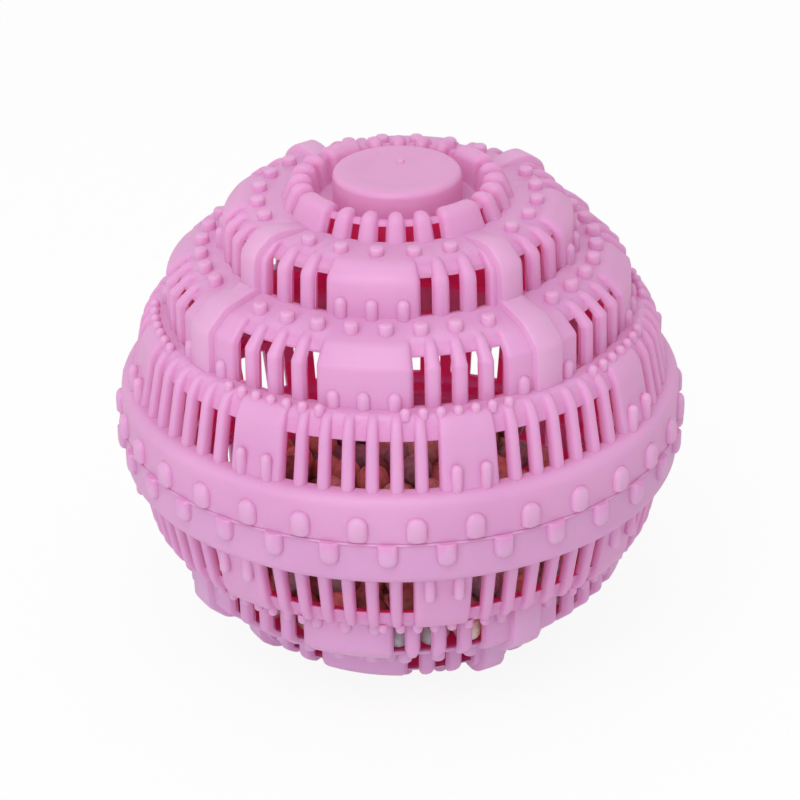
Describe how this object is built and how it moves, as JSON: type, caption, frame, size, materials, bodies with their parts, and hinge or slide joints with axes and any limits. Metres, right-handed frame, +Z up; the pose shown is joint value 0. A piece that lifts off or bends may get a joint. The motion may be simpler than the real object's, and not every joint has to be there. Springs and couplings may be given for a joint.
{
  "type": "laundry ball",
  "caption": "Stepped, slotted plastic laundry ball in two push-together half shells with ribbed tiers, a pipped equator band and a charge of loose ceramic beads inside.",
  "frame": {"origin": "centre of the ball, on its axis at the parting plane between the two half shells", "axes": "+Z up along the ball's axis through both crowns, -Y towards the wide plain panel that faces the viewer, +X to its right"},
  "size_m": [0.1, 0.1, 0.0896],
  "materials": {
    "shell_plastic": "satin moulded, slightly translucent",
    "cream_bead": "matt fired",
    "terracotta_bead": "matt fired",
    "brown_bead": "matt fired",
    "grey_bead": "matt fired"
  },
  "bodies": {
    "lower_half": {"lower_shell": "shell_plastic"},
    "upper_half": {"upper_shell": "shell_plastic"},
    "bead_charge": {"bead_brown_01": "brown_bead", "bead_brown_02": "brown_bead", "bead_brown_03": "brown_bead", "bead_brown_04": "brown_bead", "bead_brown_05": "brown_bead", "bead_brown_06": "brown_bead", "bead_brown_07": "brown_bead", "bead_brown_08": "brown_bead", "bead_brown_09": "brown_bead", "bead_brown_10": "brown_bead", "bead_brown_11": "brown_bead", "bead_brown_12": "brown_bead", "bead_brown_13": "brown_bead", "bead_brown_14": "brown_bead", "bead_cream_01": "cream_bead", "bead_cream_02": "cream_bead", "bead_cream_03": "cream_bead", "bead_cream_04": "cream_bead", "bead_cream_05": "cream_bead", "bead_cream_06": "cream_bead", "bead_cream_07": "cream_bead", "bead_cream_08": "cream_bead", "bead_cream_09": "cream_bead", "bead_cream_10": "cream_bead", "bead_cream_11": "cream_bead", "bead_cream_12": "cream_bead", "bead_cream_13": "cream_bead", "bead_cream_14": "cream_bead", "bead_cream_15": "cream_bead", "bead_grey_01": "grey_bead", "bead_grey_02": "grey_bead", "bead_grey_03": "grey_bead", "bead_grey_04": "grey_bead", "bead_grey_05": "grey_bead", "bead_grey_06": "grey_bead", "bead_grey_07": "grey_bead", "bead_grey_08": "grey_bead", "bead_grey_09": "grey_bead", "bead_grey_10": "grey_bead", "bead_grey_11": "grey_bead", "bead_grey_12": "grey_bead", "bead_grey_13": "grey_bead", "bead_grey_14": "grey_bead", "bead_terracotta_01": "terracotta_bead", "bead_terracotta_02": "terracotta_bead", "bead_terracotta_03": "terracotta_bead", "bead_terracotta_04": "terracotta_bead", "bead_terracotta_05": "terracotta_bead", "bead_terracotta_06": "terracotta_bead", "bead_terracotta_07": "terracotta_bead", "bead_terracotta_08": "terracotta_bead", "bead_terracotta_09": "terracotta_bead", "bead_terracotta_10": "terracotta_bead", "bead_terracotta_11": "terracotta_bead", "bead_terracotta_12": "terracotta_bead", "bead_terracotta_13": "terracotta_bead", "bead_terracotta_14": "terracotta_bead", "bead_terracotta_15": "terracotta_bead"}
  },
  "joints": [
    {"name": "halves_part", "type": "slide", "parent": "lower_half", "child": "upper_half", "axis": [0, 0, 1], "range_m": [0, 0.06]},
    {"name": "beads_toss", "type": "slide", "parent": "lower_half", "child": "bead_charge", "axis": [0, 0, 1], "range_m": [0, 0.012]}
  ]
}
